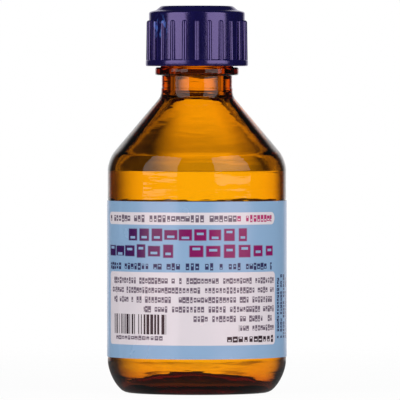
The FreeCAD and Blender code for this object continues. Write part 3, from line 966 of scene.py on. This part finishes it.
class BOTTLE_OT_mould_cap(Operator):
    """Turn the cap's shell, set its ribs round it and wind its inside thread"""

    bl_idname = "bottle.mould_cap"
    bl_label = "Mould Cap"

    def shell(self, c):
        """The cap without its ribs and thread."""
        low = CAP_LOW.z
        top = CAP_HIGH.z
        collar = CAP_HIGH.x
        ledge = top - c.crown_rise
        corners = [
            (0, LINER_HIGH.z, 0),
            (c.inside, LINER_HIGH.z, c.edge),
            (c.inside, low, c.edge / 2),
            (collar, low, c.edge),
            (collar, low + c.collar, c.edge),
            (c.skirt, low + c.collar, c.edge / 2),
            (c.skirt, ledge - c.ledge_drop, c.ledge_rounding),
            (c.crown_radius, ledge, c.edge / 2),
            (c.crown_radius - c.crown_slope, top, c.crown_rounding),
            (c.gate_radius, top, c.gate_depth),
            (c.gate_radius, top - c.gate_depth, 0),
            (0, top - c.gate_depth, 0),
        ]
        return lathe("ribbed_cap", corners, c.steps, segments=6)

    def rib(self, c):
        """One drafted rib with a rounded top, at +X."""
        middle = c.skirt + c.rib_proud - c.rib_radius
        foot = CAP_LOW.z + c.collar - c.edge
        height = c.rib_length + c.edge
        only()
        bpy.ops.mesh.primitive_cylinder_add(
            vertices=c.rib_sides, radius=c.rib_radius, depth=height, location=(middle, 0, foot + height / 2)
        )
        rib = bpy.context.object
        rib.name = "grip_rib"
        bpy.ops.object.transform_apply(location=True, rotation=True, scale=True)
        edit_vertices()
        pick(rib, lambda vertex: vertex.co.z > foot + height - NEAR)
        bpy.ops.transform.translate(value=(-c.rib_draft, 0, 0))
        bpy.ops.mesh.select_mode(type="EDGE")
        rounding = c.rib_top * c.rib_radius
        bpy.ops.mesh.bevel(offset=rounding, offset_type="OFFSET", segments=6, profile=0.5)
        close_mesh()
        return rib

    def execute(self, context):
        c = context.scene.bottle_cap
        cap = self.shell(c)
        rib = self.rib(c)
        ribs = [rib]
        for i in range(1, c.ribs):
            only(rib)
            bpy.ops.object.duplicate()
            copy = bpy.context.object
            copy.rotation_euler.z = FULL_TURN * i / c.ribs
            bpy.ops.object.transform_apply(location=False, rotation=True, scale=False)
            ribs.append(copy)
        only(*ribs)
        bpy.ops.object.join()
        root = c.inside + THREAD_SINK
        crest = c.inside - c.thread_height
        thread = wind_thread("cap_thread", root, crest, c.thread_foot, c.thread_crest, c.thread_start)
        unite(cap, rib, thread)
        smooth(cap, degrees=40)
        dress(cap, cap_plastic(c), "cap", "screw_cap")
        return {"FINISHED"}


class BOTTLE_OT_wrap_label(Operator):
    """Wrap the paper once round the glass, its front end lapped over the other"""

    bl_idname = "bottle.wrap_label"
    bl_label = "Wrap Label"

    def execute(self, context):
        s = context.scene.bottle_label
        under = LABEL_HIGH.x - s.paper
        over = under + s.paper + s.glue
        spot = Vector((math.cos(s.seam), math.sin(s.seam), 0)) * over
        label = start_mesh("paper_label", spot + Vector((0, 0, LABEL_LOW.z)))
        rise = (0, 0, (LABEL_HIGH.z - LABEL_LOW.z) / s.rows)
        for _ in range(s.rows):
            bpy.ops.mesh.extrude_region_move(TRANSFORM_OT_translate={"value": rise})
        select_mesh()

        def turn(radians, steps):
            bpy.ops.mesh.spin(steps=steps, angle=-radians, center=(0, 0, 0), axis=(0, 0, 1))

        turn(s.lap, s.lap_steps)
        turn(s.step, 1)
        share = under / over
        bpy.ops.transform.resize(value=(share, share, 1), center_override=(0, 0, 0))
        turn(FULL_TURN - 2 * s.step, s.round_steps)
        select_mesh()
        bpy.ops.mesh.remove_doubles(threshold=NEAR)
        mesh = bmesh.from_edit_mesh(label.data)
        for face in mesh.faces:
            middle = face.calc_center_median()
            if face.normal.dot(Vector((middle.x, middle.y, 0))) < 0:
                face.normal_flip()
        bmesh.update_edit_mesh(label.data)
        bpy.ops.object.mode_set(mode="OBJECT")
        modify(label, "SOLIDIFY", thickness=s.paper, offset=1)
        smooth(label)
        dress(label, printed_paper(s), "bottle", "label")
        return {"FINISHED"}


# Heights on the backlit card, where its bright part changes sides, widens behind the neck and starts.
CARD_TURN = (46 * MM, 50 * MM)
CARD_SPREAD = (60 * MM, 64 * MM)
CARD_FOOT = (0.0, 3 * MM)
CARD_TOP_FADE = 0.5 * MM
# Hollows in the card's light: heights where a hollow starts, is full, is still full and ends, and the
# share of light left in it. The first is behind the label and the second behind the shoulder.
CARD_HOLLOWS = [
    (5.5 * MM, 7.5 * MM, 30 * MM, 32 * MM, 0.03),
    (47 * MM, 50 * MM, 50 * MM, 61 * MM, 0.52),
]
CARD_SIDE_LIGHT = 0.05
CARD_FOOT_LIGHT = 0.2

# The surround, by degrees from straight behind the bottle. Through glass it is dim up to the first pair
# of edges, with a brighter patch on each side, each given by its middle and level.
DIM_EDGES = (60, 80)
DIM_LIGHT = 0.12
PATCHES = [(-46, 0.3), (50, 0.8)]
PATCH_EDGES = (4, 18)
# In reflections it is a dim room with a white background, whose top is the upward share of a direction.
ROOM_LIGHT = 0.03
BACKGROUND_LIGHT = 0.9
BACKGROUND_EDGES = (18, 36)
BACKGROUND_TOP = (0.28, 0.45)
# What it adds to matt surfaces.
FILL_LIGHT = 0.18

# The floor: through glass a painted shadow darkens it round the foot, full inside the first radius and gone
# by the second, and reflections see a dim floor. Its lift is the share of plain white laid over it, and its
# plain part ends at a share of its radius.
FOOT_PAINTED_SHADOW = (25 * MM, 70 * MM)
FLOOR_MIRROR = 0.12
FLOOR_LIFT = 0.96
FLOOR_PLAIN = 0.3
FLOOR_SIDES = 128


def radians(edges):
    """A pair of angles in radians."""
    return [math.radians(edge) for edge in edges]


class BOTTLE_OT_set_stage(Operator):
    """Set the camera, the softboxes, the backlit card, the surround and the floor"""

    bl_idname = "bottle.set_stage"
    bl_label = "Set Stage"

    def aim(self, item, target):
        item.rotation_euler = (target - item.location).to_track_quat("-Z", "Y").to_euler()

    def camera(self, scene, s):
        target = Vector((s.aim_side, 0, s.aim_height))
        bpy.ops.object.camera_add(location=(s.aim_side, -s.distance, s.height))
        camera = bpy.context.object
        self.aim(camera, target)
        reach = (target - camera.location).length
        camera.data.sensor_width = 36
        camera.data.lens = camera.data.sensor_width * reach / s.view_width
        camera.data.clip_end = 20
        scene.camera = camera

    def softbox(self, s, name, turn, radiance, mirrored):
        """A rectangular lamp at an angle from the camera, which shows in reflections where mirrored."""
        spot = Vector((math.sin(turn), -math.cos(turn), 0)) * s.box_distance
        spot.z = s.box_foot + s.box_height / 2
        bpy.ops.object.light_add(type="AREA", location=spot)
        lamp = bpy.context.object
        lamp.name = name
        self.aim(lamp, Vector((0, 0, spot.z)))
        lamp.data.shape = "RECTANGLE"
        lamp.data.size = s.box_width
        lamp.data.size_y = s.box_height
        lamp.data.energy = radiance * math.pi * s.box_width * s.box_height
        lamp.visible_camera = False
        lamp.visible_transmission = False
        lamp.visible_glossy = mirrored

    def card(self, s):
        """A backlit card behind the bottle that only shows through the glass."""
        only()
        bpy.ops.mesh.primitive_plane_add(size=s.card_size, location=(0, s.card_distance, s.card_middle))
        card = bpy.context.object
        card.name = "back_card"
        card.rotation_euler.x = math.pi / 2
        bpy.ops.object.transform_apply(location=True, rotation=True, scale=True)
        for sight in ("camera", "diffuse", "glossy", "shadow", "volume_scatter"):
            setattr(card, "visible_" + sight, False)
        material, wires, _, place = new_material("Back Card")
        split = wires.split(place)
        height = split["Z"]
        lean = wires.ramp(height, *CARD_TURN, s.card_lean, -s.card_lean)
        across = wires.math("ABSOLUTE", wires.math("ADD", split["X"], lean))
        width = wires.ramp(height, *CARD_SPREAD, s.card_width, s.card_neck)
        shares = [
            wires.ramp(across, s.card_core, width, s.card_light, CARD_SIDE_LIGHT),
            wires.ramp(height, s.card_top - CARD_TOP_FADE, s.card_top, 1.0, 0.0),
            wires.ramp(height, *CARD_FOOT, CARD_FOOT_LIGHT, 1.0),
        ]
        for start, full, still_full, end, left in CARD_HOLLOWS:
            below = wires.ramp(height, start, full, 1.0, left)
            above = wires.ramp(height, still_full, end, left, 1.0)
            shares.append(wires.math("MAXIMUM", below, above))
        wires.feed(surface_end(material)["Surface"], wires.light(wires.product(*shares)))
        card.data.materials.append(material)

    def world(self, scene):
        """White to the camera, white through glass but for the dim part, and a dim room in reflections."""
        world = bpy.data.worlds.new("White Surround")
        world.use_nodes = True
        scene.world = world
        wires = Wiring(world.node_tree)
        path = wires.node("ShaderNodeLightPath").outputs
        split = wires.split(wires.node("ShaderNodeTexCoord").outputs["Generated"])
        turn = wires.math("ARCTAN2", split["X"], split["Y"])
        side = wires.math("ABSOLUTE", turn)
        through = wires.ramp(side, *radians(DIM_EDGES), DIM_LIGHT, 1.0)
        for middle, light in PATCHES:
            away = wires.gap(turn, math.radians(middle))
            patch = wires.ramp(away, *radians(PATCH_EDGES), light, 0.0)
            through = wires.math("ADD", through, patch)
        low = wires.ramp(split["Z"], *BACKGROUND_TOP, BACKGROUND_LIGHT, 0.0)
        behind = wires.ramp(side, *radians(BACKGROUND_EDGES), 1.0, 0.0)
        mirrored = wires.math("MULTIPLY_ADD", low, behind, ROOM_LIGHT)
        level = path["Is Camera Ray"]
        for ray, light in (("Transmission", through), ("Glossy", mirrored), ("Diffuse", FILL_LIGHT)):
            level = wires.math("MULTIPLY_ADD", path[f"Is {ray} Ray"], light, level)
        wires.settle(world.node_tree.nodes["Background"], {"Color": WHITE, "Strength": level})

    def floor(self, s):
        """A floor that the camera sees as white, faded out towards its edge, with a painted shadow round
        the foot that shows through glass.
        """
        only()
        bpy.ops.mesh.primitive_circle_add(vertices=FLOOR_SIDES, radius=s.floor_radius, fill_type="NGON")
        ground = bpy.context.object
        ground.name = "studio_floor"
        material, wires, shader, place = new_material("Pale Floor")
        wires.settle(shader, {"Base Color": opaque(s.floor), "Roughness": 0.6})
        path = wires.node("ShaderNodeLightPath").outputs
        camera, glossy, through = [path[f"Is {ray} Ray"] for ray in ("Camera", "Glossy", "Transmission")]
        away = wires.distance(place, (0.0, 0.0, 0.0))
        glow = wires.math("MULTIPLY_ADD", glossy, FLOOR_MIRROR, camera)
        # Through glass the floor is dark round the foot: a painted shadow of the bottle.
        glow = wires.math("MULTIPLY_ADD", through, wires.ramp(away, *FOOT_PAINTED_SHADOW), glow)
        seen = wires.math("MAXIMUM", wires.math("MAXIMUM", camera, through), glossy)
        lift = wires.math("MULTIPLY", seen, FLOOR_LIFT)
        lit = wires.mix(lift, shader.outputs["BSDF"], wires.light(glow))
        fade = wires.ramp(away, FLOOR_PLAIN * s.floor_radius, s.floor_radius)
        clear = wires.node("ShaderNodeBsdfTransparent").outputs["BSDF"]
        wires.feed(surface_end(material)["Surface"], wires.mix(fade, lit, clear))
        ground.data.materials.append(material)

    def execute(self, context):
        scene = context.scene
        s = scene.bottle_stage
        scene.view_settings.view_transform = "Standard"
        self.camera(scene, s)
        for side, turn in (("left", -s.left_angle), ("right", s.right_angle)):
            self.softbox(s, side + "_softbox", turn, s.box_radiance, True)
            self.softbox(s, side + "_fill", turn, s.fill_radiance, False)
        self.card(s)
        self.world(scene)
        self.floor(s)
        return {"FINISHED"}


OPERATORS = (
    BOTTLE_OT_blow_glass,
    BOTTLE_OT_pour_fill,
    BOTTLE_OT_press_insert,
    BOTTLE_OT_cut_liner,
    BOTTLE_OT_mould_cap,
    BOTTLE_OT_wrap_label,
    BOTTLE_OT_set_stage,
)
SETTINGS = {
    "bottle_glass": GlassSettings,
    "bottle_fill": FillSettings,
    "bottle_insert": InsertSettings,
    "bottle_cap": CapSettings,
    "bottle_label": LabelSettings,
    "bottle_stage": StageSettings,
}


class BOTTLE_PT_sidebar(Panel):
    """Lists the bottle's pieces and stage"""

    bl_idname = "BOTTLE_PT_sidebar"
    bl_label = "Solution Bottle"
    bl_space_type = "VIEW_3D"
    bl_region_type = "UI"
    bl_category = "Bottle"

    def draw(self, context):
        for operator in OPERATORS:
            self.layout.operator(operator.bl_idname)


CLASSES = (*SETTINGS.values(), *OPERATORS, BOTTLE_PT_sidebar)


def register():
    for item in CLASSES:
        bpy.utils.register_class(item)
    for name, settings in SETTINGS.items():
        setattr(bpy.types.Scene, name, PointerProperty(type=settings))


def unregister():
    for name in SETTINGS:
        delattr(bpy.types.Scene, name)
    for item in reversed(CLASSES):
        bpy.utils.unregister_class(item)


def main():
    register()
    bpy.ops.bottle.blow_glass()
    bpy.ops.bottle.pour_fill()
    bpy.ops.bottle.press_insert()
    bpy.ops.bottle.cut_liner()
    bpy.ops.bottle.mould_cap()
    bpy.ops.bottle.wrap_label()
    bpy.ops.bottle.set_stage()


if __name__ == "__main__":
    main()
